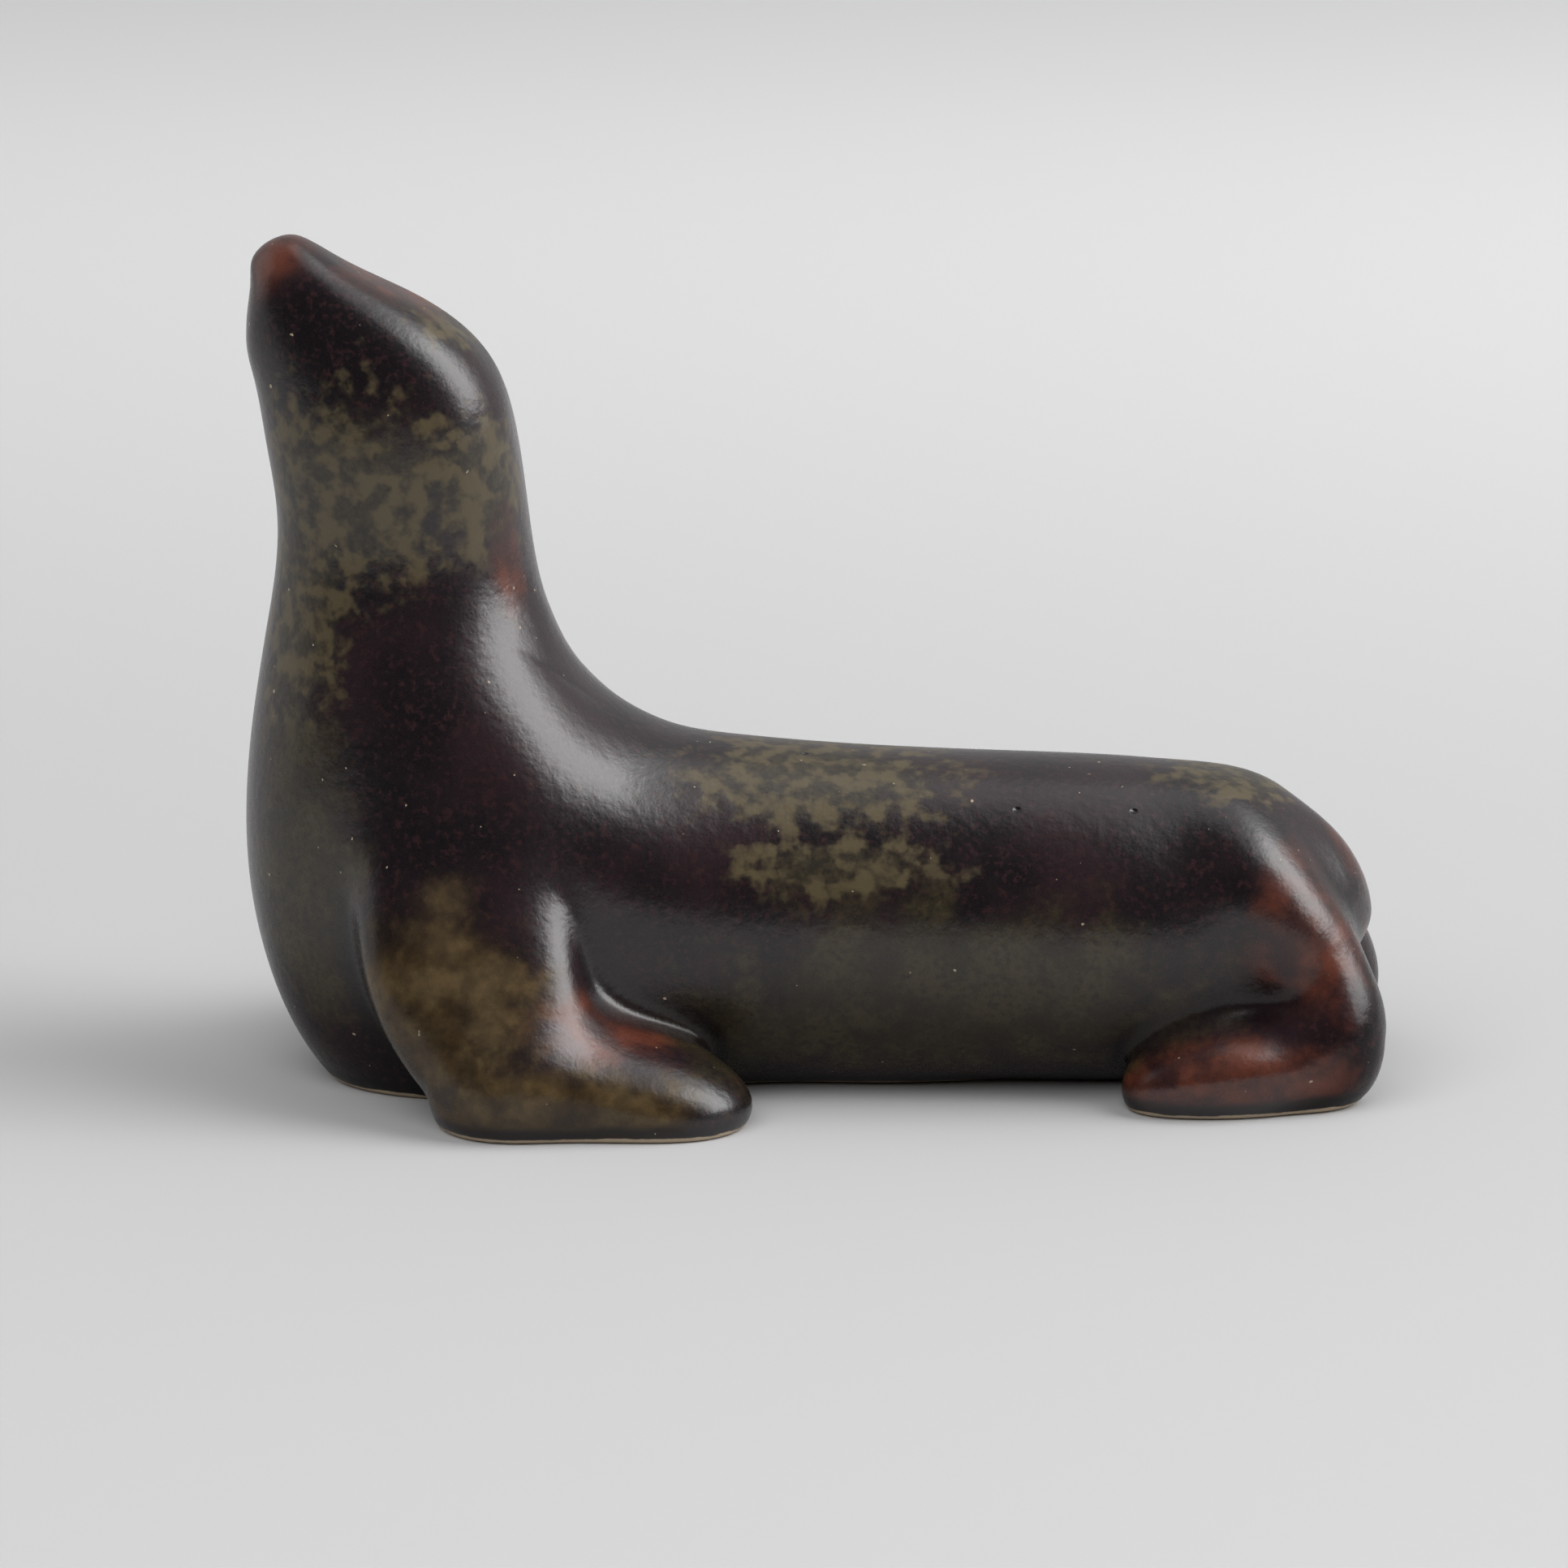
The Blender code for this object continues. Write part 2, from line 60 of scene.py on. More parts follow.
# The head bends forward along an arc that starts at the top of the neck. Each row is a section
# square to it: degrees round the arc, spine radius, back, belly, half width, fullnesses
HEAD_CENTRE = (-117.2, 82.9)
HEAD = [
    (53.4, 54.8, 0.0, 0.0, 0.0, 2.0, 2.0),
    (50.5, 54.8, 5.9, 4.7, 5.8, 2.2, 2.0),
    (48.5, 54.8, 6.7, 7.3, 7.4, 2.3, 2.0),
    (44.0, 54.8, 7.7, 11.4, 9.4, 2.6, 2.0),
    (38.0, 54.8, 10.2, 13.9, 12.2, 2.8, 2.0),
    (31.0, 54.8, 14.6, 16.0, 14.6, 2.8, 2.0),
    (22.0, 54.8, 18.9, 17.9, 16.7, 2.6, 2.0),
    (12.0, 54.8, 19.2, 18.8, 17.2, 2.3, 2.0),
]

# The rump: x, z, back, belly, half width, back fullness, belly fullness
RUMP = [
    (11.8, 25.6, 25.2, 27.3, 24.5, 2.0, 2.0),
    (30.3, 25.2, 25.0, 25.8, 24.5, 2.0, 2.0),
    (50.0, 24.9, 24.5, 25.1, 24.0, 2.0, 2.0),
    (63.6, 25.0, 22.9, 22.0, 20.8, 2.0, 2.0),
    (73.5, 25.4, 19.7, 16.0, 16.0, 2.0, 2.0),
    (81.1, 26.4, 12.8, 8.0, 9.8, 2.0, 2.0),
    (85.5, 27.0, 0.0, 0.0, 0.0, 2.0, 2.0),
]

# The saddle between neck and back is an arc the other way, with rows as the head's
SADDLE_CENTRE = (-12.7, 82.9)
SADDLE = [
    (0.0, 49.7, 19.6, 19.4, 17.2, 2.0, 2.0),
    (15.0, 50.5, 21.3, 22.9, 20.0, 2.0, 2.0),
    (30.0, 52.0, 22.4, 31.9, 24.0, 2.0, 2.1),
    (45.0, 53.5, 23.5, 43.3, 26.2, 2.0, 2.4),
    (60.0, 54.7, 24.6, 49.2, 27.0, 2.0, 2.8),
    (75.0, 55.5, 25.3, 38.0, 26.6, 2.0, 2.5),
    (90.0, 56.2, 25.7, 29.5, 25.4, 2.0, 2.1),
]

# Limbs: x, y, z, outer reach, inner reach, half width, facing x, y, z, fullness
ARM = [
    (-45.0, -4.0, 62.0, 0.0, 0.0, 0.0, 0.0, -0.9, 0.45, 2.0),
    (-48.0, -10.0, 54.0, 9.0, 9.0, 10.0, 0.0, -0.9, 0.45, 2.0),
    (-52.0, -18.0, 42.0, 10.0, 12.0, 14.5, 0.0, -0.92, 0.4, 2.2),
    (-51.8, -24.5, 28.0, 9.8, 12.0, 16.2, 0.0, -0.9, 0.4, 2.7),
    (-48.0, -30.0, 14.5, 10.0, 10.0, 14.6, 0.0, -0.92, 0.3, 2.7),
    (-45.5, -32.5, 5.0, 9.5, 9.0, 10.3, 0.0, -0.98, 0.15, 2.1),
    (-43.5, -33.5, -4.0, 0.0, 0.0, 0.0, 0.0, -1.0, 0.1, 2.0),
]
FRONT_FLIPPER = [
    (-56.0, -30.0, 5.0, 0.0, 0.0, 0.0, 0.0, -0.4, 0.92, 2.0),
    (-47.5, -30.8, 5.2, 11.0, 9.0, 12.4, 0.0, -0.4, 0.92, 2.7),
    (-38.0, -31.0, 4.6, 11.8, 9.0, 13.2, 0.0, -0.36, 0.93, 2.9),
    (-26.5, -31.4, 3.8, 9.8, 8.0, 12.4, 0.0, -0.3, 0.95, 2.7),
    (-15.5, -31.2, 3.3, 6.7, 7.0, 10.6, 0.0, -0.2, 0.98, 2.4),
    (-8.2, -30.5, 3.0, 0.0, 0.0, 0.0, 0.0, -0.1, 0.99, 2.0),
]
HIND_LEG = [
    (50.0, -3.0, 33.0, 0.0, 0.0, 0.0, 0.0, -1.0, 0.2, 2.0),
    (56.0, -4.5, 34.0, 8.0, 8.0, 8.5, 0.0, -1.0, 0.2, 2.0),
    (62.0, -7.5, 35.5, 9.2, 8.5, 9.3, 0.0, -1.0, 0.2, 2.0),
    (66.8, -12.0, 32.6, 9.2, 8.5, 9.2, 0.0, -1.0, 0.2, 2.0),
    (70.5, -13.6, 28.0, 8.8, 8.5, 9.0, 0.0, -1.0, 0.2, 2.0),
    (74.5, -13.2, 22.8, 8.6, 8.3, 8.6, 0.0, -1.0, 0.2, 2.0),
    (77.6, -13.8, 17.0, 8.6, 8.3, 8.3, 0.1, -1.0, 0.1, 2.0),
    (78.6, -15.6, 10.5, 8.7, 8.5, 8.8, 0.1, -1.0, 0.0, 2.0),
    (76.6, -16.5, 4.0, 6.2, 6.2, 6.5, 0.1, -1.0, 0.0, 2.0),
    (75.5, -17.0, -2.0, 0.0, 0.0, 0.0, 0.1, -1.0, 0.0, 2.0),
]
HIND_FLIPPER = [
    (84.0, -11.0, 8.0, 0.0, 0.0, 0.0, 0.0, -0.5, 0.87, 2.0),
    (79.5, -14.0, 6.5, 8.6, 6.0, 7.4, 0.0, -0.5, 0.87, 2.2),
    (72.0, -17.0, 4.6, 9.8, 6.0, 8.4, 0.0, -0.5, 0.87, 2.7),
    (64.5, -19.2, 4.0, 9.8, 6.0, 8.5, 0.0, -0.5, 0.87, 3.1),
    (57.0, -20.0, 3.6, 8.4, 6.0, 8.0, 0.0, -0.5, 0.87, 3.1),
    (52.0, -19.6, 3.0, 6.4, 5.0, 6.6, 0.0, -0.5, 0.87, 2.7),
    (47.8, -18.2, 2.6, 0.0, 0.0, 0.0, 0.0, -0.5, 0.87, 2.0),
]

# How far each joint is softened
SHOULDER_BLEND = 16.0
ELBOW_BLEND = 14.0
FLIPPER_CREASE = 5.0
HIP_BLEND = 8.0
HEEL_BLEND = 8.0
WEB_BLEND = 11.0
FOOT_CREASE = 4.5

# Where the glaze changes colour, on both sides alike: a centre and three half lengths
OLIVE_PLACES = [
    ((-69.0, 12.0, 93.0), (17.0, 16.0, 14.0)),
    ((-77.0, 12.0, 74.0), (8.0, 10.0, 20.0)),
    ((-55.5, 5.0, 117.0), (6.0, 5.0, 6.0)),
    ((-50.0, 12.0, 94.0), (10.0, 9.0, 10.0)),
    ((0.0, 9.0, 47.5), (19.0, 13.0, 7.0)),
    ((4.0, 21.0, 37.0), (14.0, 8.0, 4.0)),
    ((66.0, 2.0, 48.0), (12.0, 9.0, 4.0)),
]
MOSS_PLACES = [
    ((22.0, 24.0, 17.0), (34.0, 14.0, 15.0)),
    ((-10.0, 24.0, 10.0), (16.0, 12.0, 9.0)),
    ((-76.0, 20.0, 34.0), (9.0, 15.0, 22.0)),
]
OCHRE_PLACES = [
    ((-57.0, 38.0, 17.0), (17.0, 12.0, 17.0)),
    ((-38.0, 43.0, 5.0), (24.0, 9.0, 6.5)),
]
RUST_PLACES = [
    ((-73.5, 2.0, 131.0), (4.6, 5.5, 3.8)),
    ((-63.0, 2.0, 122.0), (10.0, 5.0, 4.0)),
    ((-45.5, 10.0, 81.0), (3.6, 3.0, 8.0)),
    ((76.0, 22.0, 27.0), (8.0, 9.0, 12.0)),
    ((68.0, 29.0, 7.0), (24.0, 6.0, 5.0)),
    ((-30.0, 34.0, 15.0), (12.0, 7.0, 5.0)),
]

# Pits along the back, on the left side only
PITS = [
    ((-1.4, -4.7, 50.5), (0.55, 0.55, 0.55)),
    ((30.9, -14.9, 45.0), (0.5, 0.5, 0.5)),
    ((48.5, -14.2, 44.8), (0.5, 0.5, 0.5)),
]

# Colours of the glaze, from deep to light in each family, and of the clay
DARK_PLUM = (0.0052, 0.0034, 0.0046, 1.0)
PLUM = (0.0145, 0.0070, 0.0090, 1.0)
RED_PLUM = (0.0230, 0.0088, 0.0100, 1.0)
DEEP_OLIVE = (0.0150, 0.0110, 0.0065, 1.0)
DARK_OLIVE = (0.0300, 0.0225, 0.0115, 1.0)
OLIVE = (0.0660, 0.0490, 0.0230, 1.0)
DARK_MOSS = (0.0130, 0.0092, 0.0054, 1.0)
MOSS = (0.0380, 0.0290, 0.0135, 1.0)
DARK_OCHRE = (0.0300, 0.0175, 0.0060, 1.0)
OCHRE = (0.0780, 0.0510, 0.0210, 1.0)
DARK_RUST = (0.0270, 0.0080, 0.0060, 1.0)
RUST = (0.0980, 0.0260, 0.0140, 1.0)
# Near-black band at the foot: a glaze edge, and painted contact shade where the figure meets the
# floor
GLAZE_EDGE_AND_CONTACT_SHADE = (0.0050, 0.0032, 0.0034, 1.0)
PIT = (0.0040, 0.0030, 0.0030, 1.0)
SPECK = (0.3000, 0.2400, 0.1700, 1.0)
BARE_CLAY = (0.4300, 0.3400, 0.2400, 1.0)

# The lamps: distance from the figure, and the point they face, in metres
LAMP_DISTANCE = 2.0
LAMP_TARGET = (0.0, 0.0, 0.05)


def unit(vectors):
    return vectors / np.linalg.norm(vectors, axis=-1, keepdims=True)


def fade(value, start, end):
    """0 before the start, 1 past the end, and a smooth rise between them."""
    share = np.clip((value - start) / (end - start), 0.0, 1.0)
    return share * share * (3.0 - 2.0 * share)


def curvature_of(places, values):
    """Second derivatives at each place of the natural cubic spline through the values."""
    step = np.diff(places)
    slope = np.diff(values, axis=0) / step[:, None]
    matrix = np.eye(len(places))
    inner = np.arange(1, len(places) - 1)
    matrix[inner, inner - 1] = step[:-1]
    matrix[inner, inner] = 2.0 * (step[:-1] + step[1:])
    matrix[inner, inner + 1] = step[1:]
    change = np.zeros_like(values)
    change[1:-1] = 6.0 * np.diff(slope, axis=0)
    return np.linalg.solve(matrix, change)


def squared_radius(up, side, section):
    """Squared distance from the spine to the skin in the direction (up, side).

    The skin is the superellipse |up / reach|^n + |side / half width|^n = 1, with one reach and
    one fullness n over the spine and another under it.
    """
    over = up > 0.0
    reach = np.where(over, section[..., 3], section[..., 4])
    power = np.where(over, section[..., 9], section[..., 10]) / 2.0
    square = np.maximum(up**2 + side**2, 1e-9)
    total = (up**2 / square / np.maximum(reach, 1e-3)) ** power
    total += (side**2 / square / np.maximum(section[..., 5], 1e-3)) ** power
    return total ** (-1.0 / power)


class Loft:
    """A skin over sections that follow a smooth spine and close to a round end at both tips.

    A section holds the spine's x, y, z, the squared reaches over, under and sideways, the
    direction that its upper side faces, and the fullness over and under. All of it runs through
    one cubic spline. The reaches are squared because the square falls evenly near a round tip.
    """

    def __init__(self, sections):
        self.values = sections.copy()
        self.values[:, 3:6] **= 2
        spans = np.linalg.norm(np.diff(self.values[:, :3], axis=0), axis=1)
        self.places = np.concatenate([[0.0], np.cumsum(spans)])
        self.curvature = curvature_of(self.places, self.values)
        self.length = self.places[-1]
        self.samples = np.linspace(0.0, self.length, 100)
        self.sampled_spine = self.at(self.samples)[0][:, :3]

    def at(self, along):
        """Section, slope and curvature at each distance along the spine, straight past its tips."""
        inside = np.clip(along, 0.0, self.length)
        first = np.clip(np.searchsorted(self.places, inside, "right") - 1, 0, len(self.places) - 2)
        width = (self.places[first + 1] - self.places[first])[:, None]
        ahead = (self.places[first + 1] - inside)[:, None]
        behind = (inside - self.places[first])[:, None]
        bend_a, bend_b = self.curvature[first], self.curvature[first + 1]
        line_a = self.values[first] / width - bend_a * width / 6.0
        line_b = self.values[first + 1] / width - bend_b * width / 6.0
        section = (bend_a * ahead**3 + bend_b * behind**3) / (6.0 * width)
        section += line_a * ahead + line_b * behind
        slope = (bend_b * behind**2 - bend_a * ahead**2) / (2.0 * width) + line_b - line_a
        curve = (bend_a * ahead + bend_b * behind) / width
        past = (along - inside)[:, None]
        section[:, :6] += (slope * past)[:, :6]
        return section, slope, curve

    def frame(self, section, slope):
        """Directions over and across the section, square to the spine."""
        along = unit(slope[:, :3])
        facing = section[:, 6:9]
        over = unit(facing - (facing * along).sum(1, keepdims=True) * along)
        return over, np.cross(along, over)

    def nearest(self, points):
        """Distance along the spine of the place nearest to each point, by Newton's steps."""
        far = (self.sampled_spine**2).sum(1) - 2.0 * points @ self.sampled_spine.T
        along = self.samples[far.argmin(1)]
        for _ in range(3):
            section, slope, curve = self.at(along)
            offset = points - section[:, :3]
            error = (offset * slope[:, :3]).sum(1)
            change = (offset * curve[:, :3]).sum(1) - (slope[:, :3] ** 2).sum(1)
            step = error / np.minimum(change, -0.15)
            along = np.clip(along - np.clip(step, -4.0, 4.0), -12.0, self.length + 12.0)
        return along

    def distance(self, points):
        """Distance of each point from the skin, less than 0 inside, and its place on the spine.

        For a point at distance d from the spine, where the skin has radius r, it is
        (d^2 - r^2) / (d + r).
        """
        along = self.nearest(points)
        section, slope, _ = self.at(along)
        over, across = self.frame(section, slope)
        offset = points - section[:, :3]
        up = (offset * over).sum(1)
        side = (offset * across).sum(1)
        reach = np.where(up > 0.0, section[:, 3], section[:, 4])
        past_tip = np.minimum(np.minimum(reach, section[:, 5]), 0.0)
        square = up**2 + side**2
        radius_square = squared_radius(up, side, section) + past_tip
        size = np.sqrt(square) + np.sqrt(np.maximum(radius_square, 0.0))
        return (square - radius_square) / np.maximum(size, 4.0), along

    def rings(self, spacing, points_each):
        """Points of the skin ring by ring: spine + r (cos t over + sin t across)."""
        count = int(np.ceil(self.length / spacing)) + 1
        section, slope, _ = self.at(np.linspace(0.0, self.length, count))
        over, across = self.frame(section, slope)
        turn = np.linspace(0.0, 2.0 * np.pi, points_each, endpoint=False)[None, :]
        radius = np.sqrt(squared_radius(np.cos(turn), np.sin(turn), section[:, None]))[..., None]
        ring = np.cos(turn)[..., None] * over[:, None] + np.sin(turn)[..., None] * across[:, None]
        return section[:, None, :3] + radius * ring


def on_circle(degrees):
    turn = np.radians(degrees)
    return np.stack([np.cos(turn), np.sin(turn)], axis=1)


def body_rows():
    """The head's and the saddle's rows set along their arcs, and the rump's rows."""
    head, saddle = np.array(HEAD), np.array(SADDLE)
    head_spine = np.array(HEAD_CENTRE) + head[:, 1:2] * on_circle(head[:, 0])
    saddle_spine = np.array(SADDLE_CENTRE) - saddle[:, 1:2] * on_circle(saddle[:, 0])
    head_rows = np.hstack([head_spine, head[:, 2:]])
    return np.vstack([head_rows, np.hstack([saddle_spine, saddle[:, 2:]]), RUMP])


def body_loft():
    rows = body_rows()
    spine = np.stack([rows[:, 0], np.zeros(len(rows)), rows[:, 1]], axis=1)
    along = np.gradient(spine, axis=0)
    facing = unit(np.stack([-along[:, 2], along[:, 1], along[:, 0]], axis=1))
    return Loft(np.hstack([spine, rows[:, 2:5], facing, rows[:, 5:7]]))


def limb_loft(sections):
    rows = np.array(sections)
    return Loft(np.hstack([rows, rows[:, 9:]]))


def softly_joined(first, second, reach):
    """The lesser of two distances, rounded where they differ by less than the reach."""
    overlap = np.maximum(reach - np.abs(first - second), 0.0) / reach
    return np.minimum(first, second) - overlap**3 * reach / 6.0


class Figure:
    """The lofts of the figure, and the distance to the one skin that runs over them."""

    def __init__(self):
        self.body = body_loft()
        self.arm = limb_loft(ARM)
        self.front = limb_loft(FRONT_FLIPPER)
        self.leg = limb_loft(HIND_LEG)
        self.hind = limb_loft(HIND_FLIPPER)

    def distance(self, points):
        """Distance to the skin above the floor: the lesser of body and limbs, cut at z = 0.

        Each joint is rounded over its own reach, which narrows from the shoulder down the arm
        and to the tip of the front flipper.
        """
        left = points * (1.0, -1.0, 1.0)
        left[:, 1] = -np.abs(points[:, 1])
        front, along = self.front.distance(left)
        to_tip = fade(along, self.front.places[2], self.front.places[5])
        arm, along = self.arm.distance(left)
        down_arm = 0.8 * fade(along, self.arm.places[1], self.arm.places[3])
        front = softly_joined(front, arm, ELBOW_BLEND)
        reach = SHOULDER_BLEND + (FLIPPER_CREASE - SHOULDER_BLEND) * np.maximum(to_tip, down_arm)
        skin = softly_joined(self.body.distance(left)[0], front, reach)
        leg = self.leg.distance(left)[0]
        foot, along = self.hind.distance(left)
        to_tip = fade(along, self.hind.places[1], self.hind.places[3])
        skin = np.minimum(
            softly_joined(skin, foot, WEB_BLEND + (FOOT_CREASE - WEB_BLEND) * to_tip),
            softly_joined(skin, softly_joined(leg, foot, HEEL_BLEND), HIP_BLEND),
        )
        return -softly_joined(-skin - INSET, points[:, 2], FLOOR_ROUNDING)

    def onto_skin(self, points):
        """The points moved along the slope of the distance until they lie on the skin."""
        probe = 0.04
        for _ in range(3):
            here = self.distance(points)
            slope = [(self.distance(points + probe * axis) - here) / probe for axis in np.eye(3)]
            slope = np.stack(slope, axis=1)
            steepness = np.maximum((slope**2).sum(1, keepdims=True), 0.25)
            points = points - np.clip(here[:, None] * slope / steepness, -1.0, 1.0)
        return points

    def ridge(self, points, reach=2.5):
        """How strongly the skin is curved at each point, per millimetre: over 0 on ridges.

        It is the sum of the distance's second derivatives, taken over the reach.
        """
        around = [self.distance(points + way * axis) for axis in np.eye(3) for way in (-reach, reach)]
        return (np.sum(around, axis=0) - 6.0 * self.distance(points)) / reach**2

    def shells(self):
        """Rings of the body and of the limbs on both sides, wound so that faces point out."""
        limbs = [limb.rings(1.5, 48) for limb in (self.arm, self.front, self.leg, self.hind)]
        right = [rings[:, ::-1] * (1.0, -1.0, 1.0) for rings in limbs]
        return [self.body.rings(1.5, 72), *limbs, *right]


def shell_faces(rings, start):
    """Quads between neighbouring rings, and one face over each end ring."""
    index = start + np.arange(rings.shape[0] * rings.shape[1]).reshape(rings.shape[:2])
    following = np.roll(index, -1, axis=1)
    quads = np.stack([index[:-1], following[:-1], following[1:], index[1:]], axis=-1)
    return quads.reshape(-1, 4).tolist() + [index[0, ::-1].tolist(), index[-1].tolist()]


def mesh_of_shells(name, shells):
    """One mesh that holds several closed shells."""
    faces = []
    start = 0
    for rings in shells:
        faces += shell_faces(rings, start)
        start += rings.shape[0] * rings.shape[1]
    mesh = bpy.data.meshes.new(name)
    mesh.from_pydata(np.concatenate([rings.reshape(-1, 3) for rings in shells]), [], faces)
    return mesh


def block_under_floor():
    """A block whose top is the floor, which cuts the base flat."""
    corners = [(x, y, z) for z in (-200.0, 0.0) for y in (-200.0, 200.0) for x in (-200.0, 200.0)]
    faces = [(0, 2, 3, 1), (4, 5, 7, 6), (0, 1, 5, 4), (1, 3, 7, 5), (3, 2, 6, 7), (2, 0, 4, 6)]
    mesh = bpy.data.meshes.new("floor_block")
    mesh.from_pydata(corners, [], faces)
    return mesh


def fused_mesh(figure):
    """The shells run into one closed mesh of small even quads, and cut flat at the floor."""
    whole = bpy.data.objects.new("whole", mesh_of_shells("whole", figure.shells()))
    block = bpy.data.objects.new("block", block_under_floor())
    for part in (whole, block):
        bpy.context.scene.collection.objects.link(part)
    run = whole.modifiers.new("Run together", "REMESH")
    run.mode = "VOXEL"
    run.voxel_size = JOINING_VOXEL
    cut = whole.modifiers.new("Cut at the floor", "BOOLEAN")
    cut.operation = "DIFFERENCE"
    cut.object = block
    refine = whole.modifiers.new("Refine", "REMESH")
    refine.mode = "VOXEL"
    refine.voxel_size = VOXEL
    graph = bpy.context.evaluated_depsgraph_get()
    mesh = bpy.data.meshes.new_from_object(whole.evaluated_get(graph))
    for part in (whole, block):
        bpy.data.objects.remove(part)
    return mesh


def evened(points, edges, passes):
    """The points drawn halfway to the mean of their neighbours, which spaces them evenly."""
    neighbours = np.bincount(edges.ravel(), minlength=len(points))[:, None]
    for _ in range(passes):
        total = np.stack(
            [
                np.bincount(edges[:, 0], points[edges[:, 1], axis], len(points))
                + np.bincount(edges[:, 1], points[edges[:, 0], axis], len(points))
                for axis in range(3)
            ],
            axis=1,
        )
        points = 0.5 * points + 0.5 * total / neighbours
    return points


def fitted(points):
    """The points sized evenly to lie inside the CAD's box, centred in it, and set on the floor."""
    low, high = points.min(0), points.max(0)
    cad_low, cad_high = np.array(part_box("sea_lion"))
    points = (points - 0.5 * (low + high)) * ((cad_high - cad_low) / (high - low)).min()
    points[:, :2] += 0.5 * (cad_low + cad_high)[:2]
    points[:, 2] -= points[:, 2].min()
    return points


def sea_lion_mesh():
    """The fused mesh set on the softened skin, with its ridges and creases noted for the glaze."""
    figure = Figure()
    mesh = fused_mesh(figure)
    points = np.empty(3 * len(mesh.vertices))
    mesh.vertices.foreach_get("co", points)
    edges = np.empty(2 * len(mesh.edges), int)
    mesh.edges.foreach_get("vertices", edges)
    edges = edges.reshape(-1, 2)
    points = figure.onto_skin(evened(points.reshape(-1, 3), edges, 4))
    points = figure.onto_skin(evened(points, edges, 2))
    ridge = mesh.attributes.new("ridge", "FLOAT", "POINT")
    ridge.data.foreach_set("value", figure.ridge(points))
    mesh.vertices.foreach_set("co", fitted(points).ravel())
    mesh.update()
    mesh.shade_smooth()
    return mesh


class Nodes:
    """The shader nodes of a material or of the world, added and joined one call at a time."""

    def __init__(self, owner):
        owner.use_nodes = True
        self.nodes = owner.node_tree.nodes
        self.links = owner.node_tree.links

    def feed(self, node, inputs):
        """Sets the node's inputs to numbers, or joins them to other nodes' outputs."""
        for socket, value in inputs.items():
            if isinstance(value, bpy.types.NodeSocket):
                self.links.new(value, node.inputs[socket])
            else:
                node.inputs[socket].default_value = value

    def add(self, kind, inputs, **settings):
        """A new node with its settings and inputs."""
        node = self.nodes.new(kind)
        for name, value in settings.items():
            setattr(node, name, value)
        self.feed(node, inputs)
        return node

    def math(self, operation, first, second=0.0, third=0.0):
        inputs = {0: first, 1: second, 2: third}
        return self.add("ShaderNodeMath", inputs, operation=operation).outputs[0]

    def noise(self, where, per_mm, detail=2.0, roughness=0.5):
        """Soft random value around 0.5."""
        inputs = {"Vector": where, "Scale": per_mm, "Detail": detail, "Roughness": roughness}
        return self.add("ShaderNodeTexNoise", inputs).outputs["Fac"]

    def ramp(self, value, start, end, first=0.0, last=1.0):
        """The first number where the value is at the start, the last at the end, eased between."""
        inputs = {"Value": value, "From Min": start, "From Max": end, "To Min": first, "To Max": last}
        return self.add("ShaderNodeMapRange", inputs, interpolation_type="SMOOTHSTEP").outputs[0]

    def mix(self, share, first, second):
        """The first colour where the share is 0, and the second where it is 1."""
        inputs = {0: share, 6: first, 7: second}
        return self.add("ShaderNodeMix", inputs, data_type="RGBA").outputs[2]

    def most(self, *values):
        result = values[0]
        for value in values[1:]:
            result = self.math("MAXIMUM", result, value)
        return result

    def patches(self, where, places):
        """1 at the middle of any of the ellipsoids, 0 on their edges and less than 0 outside."""
        fields = []
        for centre, reach in places:
            inputs = {"Vector": where, "Location": centre, "Scale": reach}
            local = self.add("ShaderNodeMapping", inputs, vector_type="TEXTURE").outputs[0]
            far = self.add("ShaderNodeVectorMath", {0: local}, operation="LENGTH").outputs["Value"]
            fields.append(self.math("SUBTRACT", 1.0, far))
        return self.most(*fields)

    def broken(self, field, noise, strength, edge):
        """1 inside the field and 0 outside, with an outline that the noise breaks up."""
        shift = self.math("SUBTRACT", field, 0.5 * strength)
        return self.ramp(self.math("MULTIPLY_ADD", noise, strength, shift), -edge, edge)


